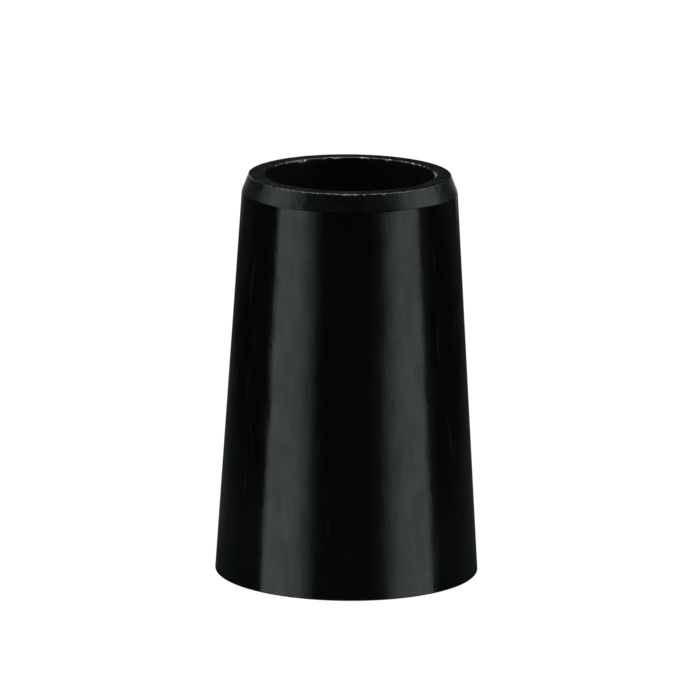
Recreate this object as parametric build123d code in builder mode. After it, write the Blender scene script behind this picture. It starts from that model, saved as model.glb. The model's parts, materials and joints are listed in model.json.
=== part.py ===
from build123d import *
import os

# A tapered ferrule: a short plastic collar that is pushed over a shaft and butts against the
# socket that the shaft is fixed in, so that the step between the two becomes a smooth cone.
#
# It is turned in one piece. Outside, a long shallow taper runs from the wide base up to a
# shoulder, and a short steeper bevel runs from the shoulder in to a flat, ring-shaped rim. A
# parallel bore goes right through, and every edge is just broken, as a lathe tool leaves it.
#
# Millimetres, +Z up along the bore, origin at the centre of the base face.

# Driving dimensions. A wall is a radial thickness, measured out from the bore.
bore_diameter = 8.9  # takes the tip of a 0.350 inch shaft
length = 21.3  # base face to rim face
base_wall = 2.5  # at the base, which comes flush with the outside of the socket
rim_wall = 0.85  # the flat ring on top
bevel_width = 0.36  # how far the bevel runs in, from the shoulder to the rim
bevel_height = 0.92  # how far it climbs
base_round = 0.06  # outer corner of the base
shoulder_round = 0.25  # corner between the taper and the bevel
rim_round = 0.09  # corner between the bevel and the rim face
bore_break = 0.1  # 45 degree break at each mouth of the bore

bore_radius = bore_diameter / 2
rim_radius = bore_radius + rim_wall
base_corner = (bore_radius + base_wall, 0)
shoulder_corner = (rim_radius + bevel_width, length - bevel_height)
rim_corner = (rim_radius, length)

with BuildPart() as ferrule:
    # The blank: half of its section, drawn beside the axis and turned about it.
    with BuildSketch(Plane.XZ) as half_section:
        with BuildLine():
            Polyline((0, 0), base_corner, shoulder_corner, rim_corner, (0, length), close=True)
        make_face()
        for corner, rounding in (
            (base_corner, base_round),
            (shoulder_corner, shoulder_round),
            (rim_corner, rim_round),
        ):
            fillet(half_section.vertices().sort_by_distance(corner)[0], radius=rounding)
    revolve(axis=Axis.Z)

    # The bore, down through the rim face, with both of its mouths broken.
    with Locations((0, 0, length)):
        Hole(radius=bore_radius)
    bore_mouths = ferrule.edges(Select.LAST).filter_by(GeomType.CIRCLE)
    chamfer(bore_mouths, length=bore_break)

ferrule.part.label = "ferrule"

os.makedirs("parts", exist_ok=True)
export_step(ferrule.part, "parts/ferrule.step")
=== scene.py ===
"""A tapered ferrule of black plastic, turned in one piece, in a white studio.

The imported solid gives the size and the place. The collar here stands for it, with its edges
rounded and left slightly ragged by the tool, and with a finish of its own on each turned face.
Metres, +Z up along the bore, origin at the centre of the base face.
"""

import json
import math

import bmesh
import bpy
from bpy.props import FloatProperty, FloatVectorProperty, IntProperty, PointerProperty
from mathutils import Matrix, Vector, noise


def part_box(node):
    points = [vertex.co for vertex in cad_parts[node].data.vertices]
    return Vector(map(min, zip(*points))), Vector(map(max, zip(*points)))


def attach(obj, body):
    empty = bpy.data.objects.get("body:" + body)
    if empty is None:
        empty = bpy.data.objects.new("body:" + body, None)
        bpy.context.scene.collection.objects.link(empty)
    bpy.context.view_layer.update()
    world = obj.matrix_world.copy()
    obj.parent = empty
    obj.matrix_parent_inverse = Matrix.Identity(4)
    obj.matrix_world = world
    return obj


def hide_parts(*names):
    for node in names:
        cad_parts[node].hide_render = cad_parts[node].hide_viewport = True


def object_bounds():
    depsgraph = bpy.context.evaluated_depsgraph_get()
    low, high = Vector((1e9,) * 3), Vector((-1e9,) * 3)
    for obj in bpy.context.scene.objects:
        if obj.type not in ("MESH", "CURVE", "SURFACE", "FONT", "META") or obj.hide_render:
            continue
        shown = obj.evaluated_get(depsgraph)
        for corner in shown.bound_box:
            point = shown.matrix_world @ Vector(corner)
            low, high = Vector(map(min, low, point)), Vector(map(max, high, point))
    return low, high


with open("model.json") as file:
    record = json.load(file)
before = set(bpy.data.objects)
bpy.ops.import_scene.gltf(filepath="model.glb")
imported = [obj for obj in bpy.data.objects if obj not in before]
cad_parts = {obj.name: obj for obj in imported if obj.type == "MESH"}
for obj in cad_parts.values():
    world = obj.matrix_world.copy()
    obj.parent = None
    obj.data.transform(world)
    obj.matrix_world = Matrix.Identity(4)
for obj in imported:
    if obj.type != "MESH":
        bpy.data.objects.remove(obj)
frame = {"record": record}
CAD_LOW, CAD_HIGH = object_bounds()

bl_info = {
    "name": "Tapered Ferrule",
    "version": (1, 0, 0),
    "blender": (4, 5, 0),
    "location": "3D View > Sidebar > Ferrule",
    "description": "Turns a black plastic ferrule and lights it in a white studio",
    "category": "Add Mesh",
}

MILLIMETRE = 0.001
BODY = "root"
NODE = "ferrule"

BORE = next(m for m in frame["record"]["mounts"] if m["name"] == "bore")
_, NODE_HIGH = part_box(NODE)

# Where the rim is worn most, and where its painted glints gather: on its outer edge in front, and on
# the bore's mouth behind.
RIM_FRONT = (0.0, -5.3 * MILLIMETRE, NODE_HIGH.z)
RIM_BACK = (3.0 * MILLIMETRE, 3.0 * MILLIMETRE, NODE_HIGH.z)


def towards(azimuth, elevation=0.0):
    """Unit vector at an azimuth from -Y, positive to the right, and an elevation."""
    flat = math.cos(elevation)
    return Vector((math.sin(azimuth) * flat, -math.cos(azimuth) * flat, math.sin(elevation)))


# ---------------------------------------------------------------- sizes and colours


def size(name, description, millimetres):
    """A length that a user may change."""
    return FloatProperty(
        name=name,
        description=description,
        default=millimetres * MILLIMETRE,
        unit="LENGTH",
        precision=6,
    )


def share(name, description, default):
    """A number from 0 to 1 that a user may change."""
    return FloatProperty(
        name=name,
        description=description,
        default=default,
        min=0.0,
        max=1.0,
        subtype="FACTOR",
    )


def colour(name, description, default):
    """A colour that a user may change."""
    return FloatVectorProperty(
        name=name,
        description=description,
        default=default,
        subtype="COLOR",
        size=3,
        min=0.0,
        max=1.0,
        precision=4,
    )


def angle(name, description, degrees):
    """An angle that a user may change."""
    return FloatProperty(
        name=name,
        description=description,
        default=math.radians(degrees),
        subtype="ANGLE",
    )


class FerruleShape(bpy.types.PropertyGroup):
    """Sizes of the turned collar."""

    bore_radius: size("Bore radius", "Radius of the parallel bore", BORE["dims"]["r_mm"])
    length: size("Length", "From the base face to the rim face", NODE_HIGH.z / MILLIMETRE)
    base_wall: size("Base wall", "Thickness of the wall at the base face", 2.5)
    rim_wall: size("Rim wall", "Width of the flat ring on top", 0.85)
    bevel_width: size("Bevel width", "How far the bevel runs in from the shoulder", 0.36)
    bevel_height: size("Bevel height", "How far the bevel climbs", 0.92)
    base_round: size("Base round", "Radius of the outer corner of the base", 0.06)
    shoulder_round: size("Shoulder round", "Radius between the taper and the bevel", 0.25)
    rim_round: size("Rim round", "Radius between the bevel and the rim face", 0.09)
    bore_round: size("Bore mouth round", "Radius of each mouth of the bore", 0.07)
    burr: size("Burr", "How far the cut edges wander in and out", 0.1)
    wander: size("Wander", "How far the shoulder wanders up and down", 0.07)
    steps: IntProperty(
        name="Steps",
        description="Faces round the collar",
        default=480,
        min=64,
    )


class FerruleFinish(bpy.types.PropertyGroup):
    """Colour and polish of the plastic."""

    plastic: colour("Plastic", "Colour of the polished plastic", (0.0012, 0.0011, 0.0012))
    cut_plastic: colour("Cut plastic", "Colour where the tool left it dull", (0.0022, 0.0024, 0.0024))
    scuffed_plastic: colour("Scuffed plastic", "Colour of scuffs and specks", (0.015, 0.015, 0.015))
    # A painted highlight: this light colour, on spots of the torn edges, stands in for glints of the
    # light on them.
    painted_glint_plastic: colour("Painted glint plastic", "Colour painted on torn edges as glints", (0.5, 0.5, 0.5))
    taper_roughness: share("Taper roughness", "Roughness of the polished outside", 0.125)
    bevel_roughness: share("Bevel roughness", "Roughness of the turned bevel", 0.22)
    edge_roughness: share("Edge roughness", "Roughness of the broken edges", 0.2)
    rim_roughness: share("Rim roughness", "Roughness of the faced rim and base", 0.3)
    bore_roughness: share("Bore roughness", "Roughness of the drilled bore", 0.24)


class FerruleStudio(bpy.types.PropertyGroup):
    """The camera and the lights."""

    camera_distance: size("Camera distance", "From the middle of the collar", 389.2)
    camera_elevation: angle("Camera elevation", "Above the horizon", 12.99)
    aim_up: size("Aim above", "How far above the middle of the collar the camera aims", 1.16)
    aim_right: size("Aim beside", "How far to the right of the middle the camera aims", 0.09)
    camera_roll: angle("Camera roll", "Turn of the camera about its own axis", 0.53)
    camera_lens: FloatProperty(
        name="Lens",
        description="Focal length in millimetres, on a sensor 36 mm wide",
        default=380.0,
    )
    light_tint: colour("Light tint", "Colour of the softboxes", (0.87, 1.0, 0.94))
    dim_tint: colour("Dim tint", "Colour of the dim panels", (0.95, 1.0, 0.98))
    table_tint: colour("Table tint", "Colour of the table's glow near the collar", (0.6, 1.0, 0.88))
    rear_tint: colour("Rear tint", "Colour of the table's glow behind it", (1.0, 0.65, 0.76))


# ---------------------------------------------------------------- the collar


def section_corners(shape):
    """Sharp corners of half the section, as (radius, height, rounding), from the bore out."""
    rim_radius = shape.bore_radius + shape.rim_wall
    shoulder_radius = rim_radius + shape.bevel_width
    return [
        (shape.bore_radius, 0.0, shape.bore_round),
        (shape.bore_radius + shape.base_wall, 0.0, shape.base_round),
        (shoulder_radius, shape.length - shape.bevel_height, shape.shoulder_round),
        (rim_radius, shape.length, shape.rim_round),
        (shape.bore_radius, shape.length, shape.bore_round),
    ]


def turn_at(before, corner, after):
    """The angle that the outline turns through at a corner."""
    return (corner - before).angle(after - corner)


def draw_section(bm, shape):
    """Half the section as a closed wire, with each corner rounded to its own radius."""
    corners = section_corners(shape)
    verts = [bm.verts.new((radius, 0.0, height)) for radius, height, _ in corners]
    places = [v.co.copy() for v in verts]
    for here, there in zip(verts, verts[1:] + verts[:1]):
        bm.edges.new((here, there))
    for index, (_, _, rounding) in enumerate(corners):
        turn = turn_at(places[index - 1], places[index], places[(index + 1) % len(places)])
        bmesh.ops.bevel(
            bm,
            geom=[verts[index]],
            offset=rounding * math.tan(turn / 2),
            offset_type="OFFSET",
            segments=8,
            profile=0.5,
            affect="VERTICES",
            material=-1,
        )


def hold_runs(bm):
    """Cut each straight run, twice beside each of its rounds and evenly between them."""
    shortest_run = 0.4 * MILLIMETRE
    gaps = (0.15 * MILLIMETRE, 0.03 * MILLIMETRE)
    step = 0.25 * MILLIMETRE
    most_cuts = 16
    for edge in [e for e in bm.edges if e.calc_length() > shortest_run]:
        for vert in edge.verts[:]:
            for gap in gaps:
                run = max(vert.link_edges, key=lambda e: e.calc_length())
                bmesh.utils.edge_split(run, vert, gap / run.calc_length())
    for edge in [e for e in bm.edges if e.calc_length() > step]:
        cuts = min(most_cuts, int(edge.calc_length() / step))
        bmesh.ops.subdivide_edges(bm, edges=[edge], cuts=cuts)


def spin_section(bm, steps):
    """Spin the section once round the bore and close it."""
    bmesh.ops.spin(
        bm,
        geom=bm.verts[:] + bm.edges[:],
        cent=(0, 0, 0),
        axis=(0, 0, 1),
        dvec=(0, 0, 0),
        angle=math.tau,
        steps=steps,
        use_merge=True,
        use_duplicate=False,
    )
    bmesh.ops.remove_doubles(bm, verts=bm.verts[:], dist=0.0001 * MILLIMETRE)
    bmesh.ops.recalc_face_normals(bm, faces=bm.faces[:])


def uneven(place, scales, seed):
    """Noise at a place in millimetres: each scale's is half as strong as that of the one before."""
    return sum(noise.noise(place * scale + seed) / 2 ** step for step, scale in enumerate(scales))


def wander_shoulder(bm, shape):
    """Let the shoulder wander up and down, as a bevel does that is cut by hand."""
    height = shape.length - shape.bevel_height
    shoulder_radius = shape.bore_radius + shape.rim_wall + shape.bevel_width
    drop = shape.bore_radius + shape.base_wall - shoulder_radius
    slide = Vector((-drop, height)).normalized()
    outside = shape.bore_radius + 0.9 * shape.rim_wall
    reach_below = 1.5 * MILLIMETRE
    scales = (0.35, 1.1)
    seed = Vector((2.0, 9.0, 6.0))
    for vert in bm.verts:
        outward = Vector((vert.co.x, vert.co.y, 0.0))
        rise = vert.co.z - height
        share_left = 1.0 - (rise / shape.bevel_height if rise > 0 else -rise / reach_below)
        if outward.length < outside or share_left <= 0:
            continue
        outward.normalize()
        place = outward * (shoulder_radius / MILLIMETRE)
        push = uneven(place, scales, seed) * shape.wander * share_left
        vert.co += outward * slide.x * push
        vert.co.z += slide.y * push


def facing(outward, azimuth, narrowness):
    """1 where the collar faces an azimuth in degrees, less on either side of it, 0 behind."""
    return max(0.0, outward.dot(towards(math.radians(azimuth)))) ** narrowness


def rim_edge_wear(outward):
    """How torn and chipped the rim's outer edge is, and how far worn away.

    It is torn in front. It stands out keener on the left, but for a worn stretch at the front
    left."""
    keen = 0.22 * facing(outward, -90, 12)
    return 0.15 + facing(outward, 0, 40), 0.0, 0.1784 * facing(outward, -37.67, 60) - keen


def bore_mouth_wear(outward):
    """How torn and chipped the bore's upper mouth is, and how far worn away.

    It is chipped most at the back, and worn on the right and at the back left."""
    worn = 0.4 * facing(outward, 90, 40) + 0.27 * facing(outward, -143.13, 50)
    return 0.1, 0.4 + 1.6 * facing(outward, 180, 1), worn


def base_edge_wear(outward):
    """How torn and chipped the base's outer edge is, and how far worn away."""
    return 0.1, 0.0, 0.0


def cut_edges(shape):
    """Each cut edge: radius, height, reach of its nicks, ways out and up, wear and seed."""
    rim_radius = shape.bore_radius + shape.rim_wall
    base_radius = shape.bore_radius + shape.base_wall
    return [
        (rim_radius, shape.length, 0.1, 1.0, 0.6, rim_edge_wear, Vector((3.0, 1.0, 4.0))),
        (shape.bore_radius, shape.length, 0.14, -1.0, 1.0, bore_mouth_wear,
         Vector((7.0, 5.0, 2.0))),
        (base_radius, 0.0, 0.07, 1.0, 0.0, base_edge_wear, Vector((1.0, 8.0, 5.0))),
    ]


def nick_edges(bm, shape):
    """Tear, chip and wear the cut edges: two at the rim, and faintly the outer one at the base."""
    patch_scale = 0.8
    tear_scales = (3.3, 7.1)
    chip_scale = 2.6
    least_patch = 0.35
    chip_start = 0.1
    deepest_chip = 0.14
    for radius, height, reach, out, up, wear, seed in cut_edges(shape):
        for vert in bm.verts:
            radial = Vector((vert.co.x, vert.co.y, 0.0))
            off = math.hypot(radial.length - radius, vert.co.z - height) / (reach * MILLIMETRE)
            if off > 1.0:
                continue
            outward = radial.normalized()
            place = outward * (radius / MILLIMETRE)
            torn, chipped, worn = wear(outward)
            patch = least_patch + max(0.0, noise.noise(place * patch_scale + seed))
            chip = max(0.0, noise.noise(place * chip_scale - seed) - chip_start)
            push = torn * patch * uneven(place, tear_scales, seed) - worn
            push -= chipped * min(deepest_chip, chip)
            fall = (1.0 - off ** 2) ** 2
            vert.co += (outward * out + Vector((0.0, 0.0, up))) * (push * fall * shape.burr)


# How far up a face looks, in degrees, where one finish ends and the next begins.
WALL_LIFT = 5
TAPER_LIFT = 12
BEVEL_LIFT = 26
END_LIFT = 80


def finish_of(face, shape):
    """Which finish a face has, from the way it faces."""
    middle = face.calc_center_median()
    outward = Vector((middle.x, middle.y, 0.0))
    radius = outward.length
    outward.normalize()
    lift = math.degrees(math.asin(max(-1.0, min(1.0, face.normal.z))))
    if face.normal.dot(outward) < 0 and abs(lift) < WALL_LIFT:
        return bored_wall
    if abs(lift) > END_LIFT:
        return faced_end
    if TAPER_LIFT < lift < BEVEL_LIFT and middle.z > shape.length - 1.2 * shape.bevel_height:
        return turned_bevel
    if 0 < lift <= TAPER_LIFT:
        return polished_taper
    return broken_mouth if radius < shape.bore_radius + shape.bore_round else broken_edge


def build_collar(shape):
    """The collar's mesh."""
    bm = bmesh.new()
    draw_section(bm, shape)
    hold_runs(bm)
    spin_section(bm, shape.steps)
    wander_shoulder(bm, shape)
    nick_edges(bm, shape)
    bm.normal_update()
    for face in bm.faces:
        face.smooth = True
        face.material_index = FINISHES.index(finish_of(face, shape))
    mesh = bpy.data.meshes.new("turned_collar")
    bm.to_mesh(mesh)
    bm.free()
    return mesh


# ---------------------------------------------------------------- the plastic


def new_group(name, output, **inputs):
    """A shader node group from coordinates and numbers to one mask, and its two end nodes."""
    group = bpy.data.node_groups.new(name, "ShaderNodeTree")
    group.interface.new_socket("Vector", in_out="INPUT", socket_type="NodeSocketVector")
    for label, default in inputs.items():
        socket = group.interface.new_socket(label, in_out="INPUT", socket_type="NodeSocketFloat")
        socket.default_value = default
    group.interface.new_socket(output, in_out="OUTPUT", socket_type="NodeSocketFloat")
    return group, group.nodes.new("NodeGroupInput"), group.nodes.new("NodeGroupOutput")


def maths(tree, operation, first, second=None, third=None):
    """A Math node fed by sockets or numbers."""
    node = tree.nodes.new("ShaderNodeMath")
    node.operation = operation
    for index, value in enumerate((first, second, third)):
        if value is None:
            continue
        if isinstance(value, (int, float)):
            node.inputs[index].default_value = value
        else:
            tree.links.new(value, node.inputs[index])
    return node.outputs["Value"]


def between(tree, value, low, high, to_low=0.0, to_high=1.0, smooth=True):
    """A Map Range node from low and high to two other numbers."""
    node = tree.nodes.new("ShaderNodeMapRange")
    node.interpolation_type = "SMOOTHSTEP" if smooth else "LINEAR"
    node.inputs["From Min"].default_value = low
    node.inputs["From Max"].default_value = high
    node.inputs["To Min"].default_value = to_low
    node.inputs["To Max"].default_value = to_high
    tree.links.new(value, node.inputs["Value"])
    return node.outputs["Result"]


def noise_node(tree, vector, scale, detail=2.0, roughness=0.5):
    """A Noise Texture node."""
    node = tree.nodes.new("ShaderNodeTexNoise")
    node.inputs["Scale"].default_value = scale
    node.inputs["Detail"].default_value = detail
    node.inputs["Roughness"].default_value = roughness
    tree.links.new(vector, node.inputs["Vector"])
    return node.outputs["Fac"]


def scaled_vector(tree, vector, scale, operation="SCALE"):
    """Coordinates times one number, or axis by axis times another vector."""
    node = tree.nodes.new("ShaderNodeVectorMath")
    node.operation = operation
    tree.links.new(vector, node.inputs[0])
    tree.links.new(scale, node.inputs["Scale" if operation == "SCALE" else 1])
    return node.outputs["Vector"]


def make_streaks():
    """Long soft streaks along the collar, as polishing leaves them."""
    group, given, result = new_group(
        "polish_streaks",
        "Streak",
        Width=0.4 * MILLIMETRE,
        Length=4.0 * MILLIMETRE,
    )
    scale = group.nodes.new("ShaderNodeCombineXYZ")
    across = maths(group, "DIVIDE", 1.0, given.outputs["Width"])
    group.links.new(across, scale.inputs["X"])
    group.links.new(across, scale.inputs["Y"])
    group.links.new(maths(group, "DIVIDE", 1.0, given.outputs["Length"]), scale.inputs["Z"])
    place = scaled_vector(group, given.outputs["Vector"], scale.outputs["Vector"], "MULTIPLY")
    group.links.new(noise_node(group, place, 1.0), result.inputs["Streak"])
    return group


def make_rings():
    """Fine rings round the bore, a little uneven, as a turning tool leaves them."""
    waver_scale = 500.0
    waver_depth = 0.2 * MILLIMETRE
    group, given, result = new_group("tool_rings", "Ring", Pitch=0.08 * MILLIMETRE)
    flat = group.nodes.new("ShaderNodeVectorMath")
    flat.operation = "MULTIPLY"
    flat.inputs[1].default_value = (1.0, 1.0, 0.0)
    group.links.new(given.outputs["Vector"], flat.inputs[0])
    radius = group.nodes.new("ShaderNodeVectorMath")
    radius.operation = "LENGTH"
    group.links.new(flat.outputs["Vector"], radius.inputs[0])
    height = group.nodes.new("ShaderNodeSeparateXYZ")
    group.links.new(given.outputs["Vector"], height.inputs[0])
    along = maths(group, "SUBTRACT", height.outputs["Z"], radius.outputs["Value"])
    waver = noise_node(group, given.outputs["Vector"], waver_scale, 1.0)
    path = maths(group, "ADD", along, maths(group, "MULTIPLY", waver, waver_depth))
    ring = group.nodes.new("ShaderNodeTexNoise")
    ring.noise_dimensions = "1D"
    ring.inputs["Scale"].default_value = 1.0
    ring.inputs["Detail"].default_value = 2.0
    group.links.new(maths(group, "DIVIDE", path, given.outputs["Pitch"]), ring.inputs["W"])
    group.links.new(ring.outputs["Fac"], result.inputs["Ring"])
    return group


def make_hairlines():
    """Sparse hairlines that run nearly along the collar, as handling leaves them.

    Each lane round the collar holds one line, and noise along it picks the parts that show."""
    drift_scale = 180.0
    drift_depth = 3.0 * MILLIMETRE
    lane_step = 7.3
    run_scale = 400.0
    hidden = 0.6
    shown = 0.75
    group, given, result = new_group(
        "hairlines",
        "Hairline",
        Radius=6.0 * MILLIMETRE,
        Pitch=3.4 * MILLIMETRE,
        Width=0.03 * MILLIMETRE,
        Slant=0.2,
        Seed=0.0,
    )
    spot = group.nodes.new("ShaderNodeSeparateXYZ")
    group.links.new(given.outputs["Vector"], spot.inputs[0])
    turn = maths(group, "ARCTAN2", spot.outputs["Y"], spot.outputs["X"])
    around = maths(group, "MULTIPLY", turn, given.outputs["Radius"])
    slanted = maths(group, "MULTIPLY_ADD", spot.outputs["Z"], given.outputs["Slant"], around)
    drift = noise_node(group, given.outputs["Vector"], drift_scale, 1.0)
    path = maths(group, "MULTIPLY_ADD", drift, drift_depth, slanted)
    lane = maths(group, "DIVIDE", path, given.outputs["Pitch"])
    middle = maths(group, "SUBTRACT", maths(group, "FRACT", lane), 0.5)
    off = maths(group, "MULTIPLY", maths(group, "ABSOLUTE", middle), given.outputs["Pitch"])
    line = maths(group, "SUBTRACT", 1.0, maths(group, "DIVIDE", off, given.outputs["Width"]))
    line = maths(group, "MAXIMUM", line, 0.0)
    lane_place = group.nodes.new("ShaderNodeCombineXYZ")
    number = maths(group, "FLOOR", lane)
    seeded = maths(group, "MULTIPLY_ADD", number, lane_step, given.outputs["Seed"])
    along = maths(group, "MULTIPLY", spot.outputs["Z"], run_scale)
    group.links.new(seeded, lane_place.inputs["X"])
    group.links.new(along, lane_place.inputs["Y"])
    run = noise_node(group, lane_place.outputs["Vector"], 1.0, 0.0)
    part = between(group, run, hidden, shown)
    group.links.new(maths(group, "MULTIPLY", line, part), result.inputs["Hairline"])
    return group


def make_specks():
    """Sparse specks of dust and small dents, each round the middle of a cell of a pattern."""
    core = 0.03
    outside = 0.09
    group, given, result = new_group(
        "specks",
        "Speck",
        Spacing=1.4 * MILLIMETRE,
        Share=0.2,
        Seed=0.0,
    )
    density = maths(group, "DIVIDE", 1.0, given.outputs["Spacing"])
    shifted = group.nodes.new("ShaderNodeVectorMath")
    shifted.operation = "ADD"
    group.links.new(scaled_vector(group, given.outputs["Vector"], density), shifted.inputs[0])
    group.links.new(given.outputs["Seed"], shifted.inputs[1])
    cells = group.nodes.new("ShaderNodeTexVoronoi")
    cells.inputs["Scale"].default_value = 1.0
    group.links.new(shifted.outputs["Vector"], cells.inputs["Vector"])
    speck = between(group, cells.outputs["Distance"], core, outside, to_low=1.0, to_high=0.0)
    pick = group.nodes.new("ShaderNodeSeparateColor")
    group.links.new(cells.outputs["Color"], pick.inputs["Color"])
    chosen = maths(group, "LESS_THAN", pick.outputs["Red"], given.outputs["Share"])
    group.links.new(maths(group, "MULTIPLY", speck, chosen), result.inputs["Speck"])
    return group


def make_grain():
    """Fine torn grain of plastic that a tool has cut and nobody has polished."""
    group, given, result = new_group("cut_grain", "Grain", Size=0.06 * MILLIMETRE)
    density = maths(group, "DIVIDE", 1.0, given.outputs["Size"])
    place = scaled_vector(group, given.outputs["Vector"], density)
    group.links.new(noise_node(group, place, 1.0, 3.0, 0.6), result.inputs["Grain"])
    return group


def put(material, group, vector, output, **values):
    """Place a node group in a material with its own values, and give one of its outputs."""
    node = material.node_tree.nodes.new("ShaderNodeGroup")
    node.node_tree = group
    material.node_tree.links.new(vector, node.inputs["Vector"])
    for label, value in values.items():
        node.inputs[label].default_value = value
    return node.outputs[output]


def put_streaks(material, groups, place, width, length):
    """Streaks of a width and a length in millimetres."""
    return put(material, groups["streaks"], place, "Streak",
               Width=width * MILLIMETRE, Length=length * MILLIMETRE)


def put_rings(material, groups, place, pitch):
    """Tool rings with a pitch in millimetres."""
    return put(material, groups["rings"], place, "Ring", Pitch=pitch * MILLIMETRE)


def put_grain(material, groups, place, grain_size):
    """Torn grain of a size in millimetres."""
    return put(material, groups["grain"], place, "Grain", Size=grain_size * MILLIMETRE)


def plastic(name, roughness):
    """A black plastic with nothing on it yet, its shader and its object coordinates."""
    material = bpy.data.materials.new(name)
    material.use_nodes = True
    shader = material.node_tree.nodes["Principled BSDF"]
    shader.inputs["Roughness"].default_value = roughness
    shader.inputs["IOR"].default_value = 1.5
    coordinates = material.node_tree.nodes.new("ShaderNodeTexCoord")
    return material, shader, coordinates.outputs["Object"]


def brighter(tint, times):
    """A colour that is some times as bright."""
    return [times * channel for channel in tint]


def blend(tree, mask, first, second):
    """A Mix node from one colour to another over a mask."""
    mix = tree.nodes.new("ShaderNodeMix")
    mix.data_type = "RGBA"
    for label, value in (("A", first), ("B", second)):
        if isinstance(value, bpy.types.NodeSocket):
            tree.links.new(value, mix.inputs[label])
        else:
            mix.inputs[label].default_value = (*value, 1.0)
    tree.links.new(mask, mix.inputs["Factor"])
    return mix.outputs["Result"]


def tone(material, shader, mask, dark, light, mark=None, scuffed=None):
    """Run from one plastic to another over a mask, and to a scuffed one where a mark is."""
    base = blend(material.node_tree, mask, dark, light)
    if mark is not None:
        base = blend(material.node_tree, mark, base, scuffed)
    material.node_tree.links.new(base, shader.inputs["Base Color"])


def relief(material, shader, *heights):
    """Bump the surface by pairs of a height from 0 to 1 and its depth in millimetres."""
    tree = material.node_tree
    unit = 0.001
    total = None
    for height, depth in heights:
        part = maths(tree, "MULTIPLY", height, depth / unit)
        total = part if total is None else maths(tree, "ADD", total, part)
    bump = tree.nodes.new("ShaderNodeBump")
    bump.inputs["Strength"].default_value = 1.0
    bump.inputs["Distance"].default_value = unit * MILLIMETRE
    tree.links.new(total, bump.inputs["Height"])
    tree.links.new(bump.outputs["Normal"], shader.inputs["Normal"])


def vary_roughness(material, shader, mask, low, high, mark=None, extra=0.0):
    """Let the roughness run from low to high over a mask, and be more where a mark is."""
    smoothest = 0.3
    roughest = 0.7
    rough = between(material.node_tree, mask, smoothest, roughest, low, high)
    if mark is not None:
        rough = maths(material.node_tree, "MULTIPLY_ADD", mark, extra, rough)
    material.node_tree.links.new(rough, shader.inputs["Roughness"])


def vary_polish(material, shader, mask, weight, roughness):
    """Let the gloss run from none to a weight of coat over a mask."""
    dull = 0.35
    glossy = 0.65
    polish = between(material.node_tree, mask, dull, glossy, to_high=weight, smooth=False)
    material.node_tree.links.new(polish, shader.inputs["Coat Weight"])
    shader.inputs["Coat Roughness"].default_value = roughness


def painted_glint_spots(material, groups, place, grain_size, spot, whole, none, strength):
    """Painted glints: light spots along an edge, where the grain is coarse, that stand in for
    highlights of the light.

    They are whole up to one distance from a spot of the rim, and gone beyond another."""
    tree = material.node_tree
    fine = 0.56
    coarse = 0.65
    grain = put_grain(material, groups, place, grain_size)
    away = tree.nodes.new("ShaderNodeVectorMath")
    away.operation = "DISTANCE"
    away.inputs[1].default_value = spot
    tree.links.new(place, away.inputs[0])
    # worn here is how strong the painted glints are: whole near the spot of the rim, none far from
    # it.
    worn = between(tree, away.outputs["Value"], whole * MILLIMETRE, none * MILLIMETRE,
                   to_low=strength, to_high=0.0)
    return maths(tree, "MULTIPLY", between(tree, grain, fine, coarse), worn)


def polished_taper(finish, groups):
    """The long outside: turned, then polished, with soft streaks and a few marks."""
    material, shader, place = plastic("polished_taper", finish.taper_roughness)
    tree = material.node_tree
    wide = put_streaks(material, groups, place, width=2.2, length=9.0)
    narrow = put_streaks(material, groups, place, width=0.45, length=2.2)
    hair = put_streaks(material, groups, place, width=0.16, length=1.6)
    blotch = put_streaks(material, groups, place, width=1.1, length=1.6)
    short = put_streaks(material, groups, place, width=0.3, length=0.8)
    dent = between(tree, short, 0.6, 0.72)
    hairlines = put(material, groups["hairlines"], place, "Hairline",
                    Width=0.045 * MILLIMETRE, Seed=6.85)
    specks = put(material, groups["specks"], place, "Speck", Share=0.15, Seed=63.91)
    scuffs = put(material, groups["hairlines"], place, "Hairline",
                 Pitch=1.6 * MILLIMETRE, Width=0.13 * MILLIMETRE, Slant=0.0, Seed=56.97)
    marks = maths(tree, "MAXIMUM", maths(tree, "MULTIPLY", hairlines, 0.65), specks)
    smudges = between(tree, blotch, 0.52, 0.66, to_high=0.05)
    scuffed = maths(tree, "MAXIMUM", marks, maths(tree, "MULTIPLY_ADD", scuffs, 0.4, smudges))
    rings = put_rings(material, groups, place, 0.25)
    tone(material, shader, hair, finish.plastic, brighter(finish.plastic, 1.6),
         scuffed, finish.scuffed_plastic)
    vary_roughness(material, shader, narrow, finish.taper_roughness - 0.012,
                   finish.taper_roughness + 0.012, scuffed, 0.16)
    cloud = maths(tree, "MULTIPLY_ADD", narrow, 0.35, maths(tree, "MULTIPLY", hair, 0.15))
    cloud = maths(tree, "MULTIPLY_ADD", blotch, 0.5, cloud)
    vary_polish(material, shader, cloud, 0.45, finish.taper_roughness)
    relief(material, shader, (wide, 0.035), (blotch, 0.01), (narrow, 0.003), (hair, 0.0012),
           (dent, 0.002), (rings, 0.0006), (marks, 0.003))
    return material


def turned_bevel(finish, groups):
    """The bevel: one pass of the tool, not polished afterwards."""
    material, shader, place = plastic("turned_bevel", finish.bevel_roughness)
    wide = put_streaks(material, groups, place, width=1.3, length=1.6)
    narrow = put_streaks(material, groups, place, width=0.5, length=0.7)
    rings = put_rings(material, groups, place, 0.09)
    tone(material, shader, narrow, finish.plastic, brighter(finish.plastic, 1.5))
    vary_roughness(material, shader, narrow, finish.bevel_roughness - 0.03,
                   finish.bevel_roughness + 0.03)
    vary_polish(material, shader, narrow, 0.2, finish.bevel_roughness)
    relief(material, shader, (wide, 0.05), (narrow, 0.025), (rings, 0.004))
    return material


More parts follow.
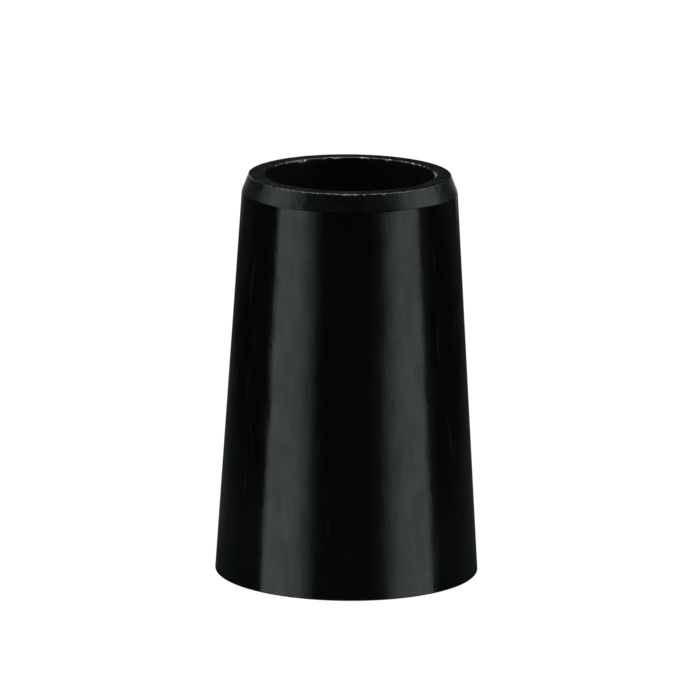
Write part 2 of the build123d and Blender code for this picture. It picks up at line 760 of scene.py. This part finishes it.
def broken_edge(finish, groups):
    """The edges: cut through and slightly torn, with painted glints at the front of the rim, light
    spots that stand in for highlights.
    """
    material, shader, place = plastic("broken_edge", finish.edge_roughness)
    grain = put_grain(material, groups, place, 0.25)
    # Painted highlight: torn marks spots, coloured light at the front of the rim, that stand in for
    # glints of the light.
    torn = painted_glint_spots(material, groups, place, grain_size=0.22,
                      spot=RIM_FRONT, whole=1.0, none=2.4, strength=0.5)
    tone(material, shader, grain, finish.plastic, finish.cut_plastic, torn, finish.painted_glint_plastic)
    vary_roughness(material, shader, grain, finish.edge_roughness - 0.06,
                   finish.edge_roughness + 0.1)
    relief(material, shader, (grain, 0.09))
    return material


def broken_mouth(finish, groups):
    """The two mouths of the bore: broken with a smoother cut, with painted glints at the back, light
    spots that stand in for highlights.
    """
    material, shader, place = plastic("broken_mouth", finish.edge_roughness)
    grain = put_grain(material, groups, place, 0.25)
    # Painted highlight: torn marks spots, coloured light round the back of the mouth, that stand in
    # for glints of the light.
    torn = painted_glint_spots(material, groups, place, grain_size=0.27,
                      spot=RIM_BACK, whole=6.6, none=7.6, strength=0.9)
    tone(material, shader, grain, finish.plastic, finish.cut_plastic, torn, finish.painted_glint_plastic)
    vary_roughness(material, shader, grain, finish.edge_roughness - 0.04,
                   finish.edge_roughness + 0.04)
    relief(material, shader, (grain, 0.03))
    return material


def faced_end(finish, groups):
    """The rim face and the base face: cut square and left dull."""
    material, shader, place = plastic("faced_end", finish.rim_roughness)
    grain = put_grain(material, groups, place, 0.07)
    coarse = put_grain(material, groups, place, 0.5)
    rings = put_rings(material, groups, place, 0.07)
    tone(material, shader, grain, finish.plastic, finish.cut_plastic)
    vary_roughness(material, shader, coarse, finish.rim_roughness - 0.08,
                   finish.rim_roughness + 0.1)
    relief(material, shader, (grain, 0.012), (coarse, 0.03), (rings, 0.002))
    return material


def bored_wall(finish, groups):
    """The bore: drilled, with the drill's rings left in it."""
    material, shader, place = plastic("bored_wall", finish.bore_roughness)
    grain = put_grain(material, groups, place, 0.12)
    rings = put_rings(material, groups, place, 0.15)
    tone(material, shader, grain, brighter(finish.plastic, 6.0), brighter(finish.plastic, 8.0))
    vary_roughness(material, shader, rings, finish.bore_roughness - 0.03,
                   finish.bore_roughness + 0.03)
    relief(material, shader, (grain, 0.001), (rings, 0.0005))
    return material


FINISHES = (polished_taper, turned_bevel, broken_edge, broken_mouth, faced_end, bored_wall)


class FERRULE_OT_turn_collar(bpy.types.Operator):
    """Turn the collar in one piece and finish each of its faces"""

    bl_idname = "ferrule.turn_collar"
    bl_label = "Turn Collar"

    def execute(self, context):
        mesh = build_collar(context.scene.ferrule_shape)
        collar = bpy.data.objects.new("turned_collar", mesh)
        context.scene.collection.objects.link(collar)
        groups = {
            "streaks": make_streaks(),
            "rings": make_rings(),
            "hairlines": make_hairlines(),
            "specks": make_specks(),
            "grain": make_grain(),
        }
        for make in FINISHES:
            mesh.materials.append(make(context.scene.ferrule_finish, groups))
        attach(collar, BODY)
        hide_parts(NODE)
        return {"FINISHED"}


# ---------------------------------------------------------------- the studio


LEFT = -1
RIGHT = 1

# How far the standing softboxes are from the collar.
SOFTBOX_REACH = 0.35

# The elevation, in degrees, at which a leaning fade is where its azimuths say.
LEAN_ELEVATION = -7.4

# Fades for a softbox's lower and upper edges, as shares of its height: dark mark, bright mark.
SOFT_FOOT = (0.0, 0.2)
SOFT_TOP = (1.0, 0.6)

# How much of a fade has passed before each colour starts, so that a fading edge is greener.
FADE_LAGS = (0.05, 0.0, 0.02)

# The table's half width, what it reflects, and what the plastic reflects of the world.
TABLE_HALF = 4.0
TABLE_COLOUR = (0.03, 0.03, 0.03, 1.0)
WORLD_COLOUR = (0.005, 0.005, 0.005, 1.0)
WHITE = (1.0, 1.0, 1.0, 1.0)

# The glows of the table lie in layers, so that none hides in another.
TABLE_LAYER = 0.0001


def add_floor():
    """A white table that glows evenly, so that it stays white."""
    bm = bmesh.new()
    bmesh.ops.create_grid(bm, x_segments=1, y_segments=1, size=TABLE_HALF)
    mesh = bpy.data.meshes.new("floor")
    bm.to_mesh(mesh)
    bm.free()
    floor = bpy.data.objects.new("floor", mesh)
    bpy.context.scene.collection.objects.link(floor)
    material = bpy.data.materials.new("white_table")
    material.use_nodes = True
    shader = material.node_tree.nodes["Principled BSDF"]
    shader.inputs["Base Color"].default_value = TABLE_COLOUR
    shader.inputs["Roughness"].default_value = 1.0
    shader.inputs["Specular IOR Level"].default_value = 0.0
    shader.inputs["Emission Color"].default_value = WHITE
    shader.inputs["Emission Strength"].default_value = 1.0
    material.cycles.emission_sampling = "NONE"
    mesh.materials.append(material)
    floor.visible_glossy = False
    floor.visible_shadow = False


def fade(tree, along, other, dark, bright, lean=0.0, pivot=0.5):
    """0 at the dark mark, 1 at the bright one, smooth between.

    The marks of a leaning fade move as the other coordinate leaves the pivot."""
    if lean:
        along = maths(tree, "MULTIPLY_ADD", other, lean, along)
        dark += lean * pivot
        bright += lean * pivot
    if dark < bright:
        return between(tree, along, dark, bright)
    return between(tree, along, bright, dark, to_low=1.0, to_high=0.0)


def add_softbox(name, place, aim, width, height, radiance, tint, across=(), up=()):
    """A rectangular softbox that fades from dark marks to bright ones, across it and up it.

    A mark is a share of its width or height, and a fade may lean, as the function fade says."""
    light = bpy.data.lights.new(name, "AREA")
    light.shape = "RECTANGLE"
    light.size = width
    light.size_y = height
    light.energy = radiance * math.pi * width * height
    light.color = tint
    light.use_nodes = True
    tree = light.node_tree
    emission = next(n for n in tree.nodes if n.type == "EMISSION")
    spot = tree.nodes.new("ShaderNodeSeparateXYZ")
    geometry = tree.nodes.new("ShaderNodeNewGeometry")
    tree.links.new(geometry.outputs["Parametric"], spot.inputs[0])
    parts = [fade(tree, spot.outputs["X"], spot.outputs["Y"], *marks) for marks in across]
    parts += [fade(tree, spot.outputs["Y"], spot.outputs["X"], *marks) for marks in up]
    strength = None
    for part in parts:
        strength = part if strength is None else maths(tree, "MULTIPLY", strength, part)
    if strength is not None:
        glow = tree.nodes.new("ShaderNodeCombineColor")
        for channel, lag in zip(("Red", "Green", "Blue"), FADE_LAGS):
            part = maths(tree, "MULTIPLY_ADD", strength, 1.0 + lag, -lag)
            tree.links.new(maths(tree, "MAXIMUM", part, 0.0), glow.inputs[channel])
        tree.links.new(glow.outputs["Color"], emission.inputs["Color"])
    lamp = bpy.data.objects.new(name, light)
    lamp.location = place
    lamp.rotation_euler = (Vector(aim) - Vector(place)).to_track_quat("-Z", "Y").to_euler()
    lamp.visible_camera = False
    bpy.context.scene.collection.objects.link(lamp)


def stand_softbox(name, side, azimuths, elevations, radiance, tint, middle,
                  fade_in, fade_out, up=()):
    """A softbox standing on one side, between two azimuths and two elevations in degrees.

    It fades in over the azimuths in fade_in and out over those in fade_out. A third number there
    is how many degrees the fade leans by over the softbox's whole height."""
    start, end = azimuths
    heading = math.radians(start + end) / 2
    half = math.radians(end - start) / 2

    def height_at(elevation):
        return middle.z + SOFTBOX_REACH * math.tan(math.radians(elevation))

    bottom, top = (height_at(elevation) for elevation in elevations)
    pivot = (height_at(LEAN_ELEVATION) - bottom) / (top - bottom)

    def mark(azimuth):
        u = 0.5 + 0.5 * math.tan(math.radians(azimuth) - heading) / math.tan(half)
        return u if side > 0 else 1 - u

    def marks(dark, bright, lean=0.0):
        return mark(dark), mark(bright), -side * lean / (end - start), pivot

    place = towards(side * heading) * SOFTBOX_REACH
    place.z = (bottom + top) / 2
    add_softbox(
        name, place, (0, 0, place.z), 2 * SOFTBOX_REACH * math.tan(half), top - bottom,
        radiance, tint,
        across=[marks(*fade_in), marks(fade_out[1], fade_out[0], *fade_out[2:])],
        up=up,
    )


def lay_glow(name, x, y, layer, width, depth, radiance, tint, across=(), up=()):
    """A glow of the table: a softbox that lies in it and faces straight up."""
    above = 0.1
    add_softbox(name, (x, y, -layer * TABLE_LAYER), (x, y, above), width, depth, radiance, tint,
                across=across, up=up)


def side_softboxes(studio, middle):
    """The softboxes that draw the bright bands, a low, an overhead and a high one a side.

    The low ones light the taper and the others the bevel and the rim. On the right the low one
    has a faint skirt."""
    tint = studio.light_tint
    low = (-55, 6)
    overhead = (37, 59)
    high = (6, 48)
    stand_softbox("low_softbox_left", LEFT, (22, 86), low, 0.94, tint, middle,
                  fade_in=(24, 56, 40), fade_out=(76.1, 82.1, 12))
    stand_softbox("low_softbox_right", RIGHT, (22, 86), low, 0.86, tint, middle,
                  fade_in=(28, 56), fade_out=(74.6, 81.1, -55))
    stand_softbox("low_skirt_right", RIGHT, (20, 100), low, 0.05, tint, middle,
                  fade_in=(21, 29), fade_out=(81, 94))
    stand_softbox("overhead_left", LEFT, (108, 146), overhead, 3.5, tint, middle,
                  fade_in=(108, 116), fade_out=(138, 146))
    stand_softbox("overhead_right", RIGHT, (108, 146), overhead, 4.5, tint, middle,
                  fade_in=(108, 116), fade_out=(138, 146))
    stand_softbox("high_softbox_left", LEFT, (36, 130), high, 1.01, tint, middle,
                  fade_in=(48, 82), fade_out=(90, 121), up=[SOFT_FOOT])
    stand_softbox("high_softbox_right", RIGHT, (36, 130), high, 1.045, tint, middle,
                  fade_in=(44, 82), fade_out=(96, 129), up=[SOFT_FOOT])


def dim_panels(studio, middle):
    """What else the plastic reflects faintly: panels in front, beside and behind."""
    grey = studio.dim_tint
    front = (18, 48)
    far = (-7, 16)
    rear = (-9, 1)
    add_softbox("front_panel", place=(0, -0.35, 0.2), aim=(0, 0, 0.2), width=0.6, height=0.2,
                radiance=0.026, tint=grey)
    stand_softbox("front_panel_left", LEFT, (8, 64), front, 0.03, grey, middle,
                  fade_in=(8, 42), fade_out=(60, 64))
    stand_softbox("front_panel_right", RIGHT, (4, 64), front, 0.045, grey, middle,
                  fade_in=(4, 32), fade_out=(60, 64))
    stand_softbox("far_panel_left", LEFT, (112, 176), far, 0.055, grey, middle,
                  fade_in=(112, 124), fade_out=(172, 176), up=[SOFT_FOOT])
    stand_softbox("far_panel_right", RIGHT, (112, 176), far, 0.05, grey, middle,
                  fade_in=(112, 124), fade_out=(172, 176), up=[SOFT_FOOT])
    stand_softbox("rear_panel_left", LEFT, (136, 178), rear, 0.2, grey, middle,
                  fade_in=(146, 170), fade_out=(174, 178), up=[SOFT_TOP])
    stand_softbox("rear_panel_right", RIGHT, (136, 178), rear, 0.9, grey, middle,
                  fade_in=(150, 173), fade_out=(174, 178), up=[SOFT_TOP])
    stand_softbox("rear_strip_left", LEFT, (158, 175), (-2, 10), 2.0, studio.light_tint, middle,
                  fade_in=(158, 161), fade_out=(173, 175), up=[SOFT_FOOT, (1.0, 0.8)])
    add_softbox("back_panel", place=(0, 0.4, 0.14), aim=(0, 0, 0.14), width=0.5, height=0.44,
                radiance=0.01, tint=grey,
                across=[(0.0, 0.12), (1.0, 0.88)], up=[(0.0, 0.12), (1.0, 0.7)])


def table_glows(studio):
    """What the plastic reflects faintly of the table: in front, near it and behind."""
    grey = studio.dim_tint
    lay_glow("front_table", x=0, y=-0.22, layer=1, width=0.2, depth=0.4,
             radiance=0.009, tint=grey, across=[(0.0, 0.3), (1.0, 0.7)])
    lay_glow("near_table", x=0, y=0.03, layer=2, width=0.11, depth=0.13,
             radiance=0.0215, tint=studio.table_tint,
             across=[(0.0, 0.3), (1.0, 0.7)], up=[(0.0, 0.25), (1.0, 0.45)])
    lay_glow("rear_table", x=-0.003, y=0.05, layer=3, width=0.064, depth=0.1,
             radiance=0.018, tint=studio.rear_tint,
             across=[(0.0, 0.35), (1.0, 0.65)], up=[(0.0, 0.15), (1.0, 0.5)])
    lay_glow("wide_table", x=0, y=0.052, layer=5, width=0.14, depth=0.06,
             radiance=0.0115, tint=studio.rear_tint,
             across=[(0.0, 0.25), (1.0, 0.75)], up=[(0.0, 0.5), (1.0, 0.6)])
    lay_glow("far_table", x=0, y=0.255, layer=4, width=0.5, depth=0.4,
             radiance=0.014, tint=grey, up=[(0.0, 0.05)])


def add_world():
    """White behind everything, and nearly black for what the plastic reflects."""
    world = bpy.data.worlds.new("studio")
    world.use_nodes = True
    nodes = world.node_tree.nodes
    links = world.node_tree.links
    nodes.clear()
    output = nodes.new("ShaderNodeOutputWorld")
    mix = nodes.new("ShaderNodeMixShader")
    seen = nodes.new("ShaderNodeLightPath")
    dim = nodes.new("ShaderNodeBackground")
    dim.inputs["Color"].default_value = WORLD_COLOUR
    white = nodes.new("ShaderNodeBackground")
    white.inputs["Color"].default_value = WHITE
    links.new(seen.outputs["Is Camera Ray"], mix.inputs["Fac"])
    links.new(dim.outputs["Background"], mix.inputs[1])
    links.new(white.outputs["Background"], mix.inputs[2])
    links.new(mix.outputs["Shader"], output.inputs["Surface"])
    bpy.context.scene.world = world


def add_camera(studio, middle):
    """The camera, aimed a little above and beside the middle of the collar."""
    data = bpy.data.cameras.new("camera")
    data.sensor_width = 36.0
    data.lens = studio.camera_lens
    camera = bpy.data.objects.new("camera", data)
    bpy.context.scene.collection.objects.link(camera)
    back = towards(0.0, studio.camera_elevation)
    camera.location = middle + back * studio.camera_distance
    right = Vector((1.0, 0.0, 0.0))
    aim = middle + right * studio.aim_right + back.cross(right) * studio.aim_up
    look = (aim - camera.location).to_track_quat("-Z", "Y").to_matrix()
    roll = Matrix.Rotation(studio.camera_roll, 3, "Z")
    camera.rotation_euler = (look @ roll).to_euler()
    bpy.context.scene.camera = camera


class FERRULE_OT_build_studio(bpy.types.Operator):
    """Lay the white floor, hang the softboxes and set up the camera"""

    bl_idname = "ferrule.build_studio"
    bl_label = "Build Studio"

    def execute(self, context):
        studio = context.scene.ferrule_studio
        middle = Vector((0.0, 0.0, (CAD_LOW.z + CAD_HIGH.z) / 2))
        add_floor()
        add_softbox("top_softbox", place=(0, 0, 0.4), aim=(0, 0, 0), width=0.34, height=0.34,
                    radiance=4.2, tint=studio.light_tint)
        side_softboxes(studio, middle)
        dim_panels(studio, middle)
        table_glows(studio)
        add_world()
        add_camera(studio, middle)
        context.scene.view_settings.view_transform = "Standard"
        return {"FINISHED"}


# ---------------------------------------------------------------- the add-on


class FERRULE_PT_tools(bpy.types.Panel):
    """Steps that make the ferrule and its studio"""

    bl_idname = "FERRULE_PT_tools"
    bl_label = "Ferrule"
    bl_space_type = "VIEW_3D"
    bl_region_type = "UI"
    bl_category = "Ferrule"

    def draw(self, context):
        self.layout.operator(FERRULE_OT_turn_collar.bl_idname)
        self.layout.operator(FERRULE_OT_build_studio.bl_idname)


CLASSES = (
    FerruleShape,
    FerruleFinish,
    FerruleStudio,
    FERRULE_OT_turn_collar,
    FERRULE_OT_build_studio,
    FERRULE_PT_tools,
)


def register():
    for cls in CLASSES:
        bpy.utils.register_class(cls)
    bpy.types.Scene.ferrule_shape = PointerProperty(type=FerruleShape)
    bpy.types.Scene.ferrule_finish = PointerProperty(type=FerruleFinish)
    bpy.types.Scene.ferrule_studio = PointerProperty(type=FerruleStudio)


def unregister():
    del bpy.types.Scene.ferrule_studio
    del bpy.types.Scene.ferrule_finish
    del bpy.types.Scene.ferrule_shape
    for cls in reversed(CLASSES):
        bpy.utils.unregister_class(cls)


def main():
    register()
    bpy.ops.ferrule.turn_collar()
    bpy.ops.ferrule.build_studio()


if __name__ == "__main__":
    main()
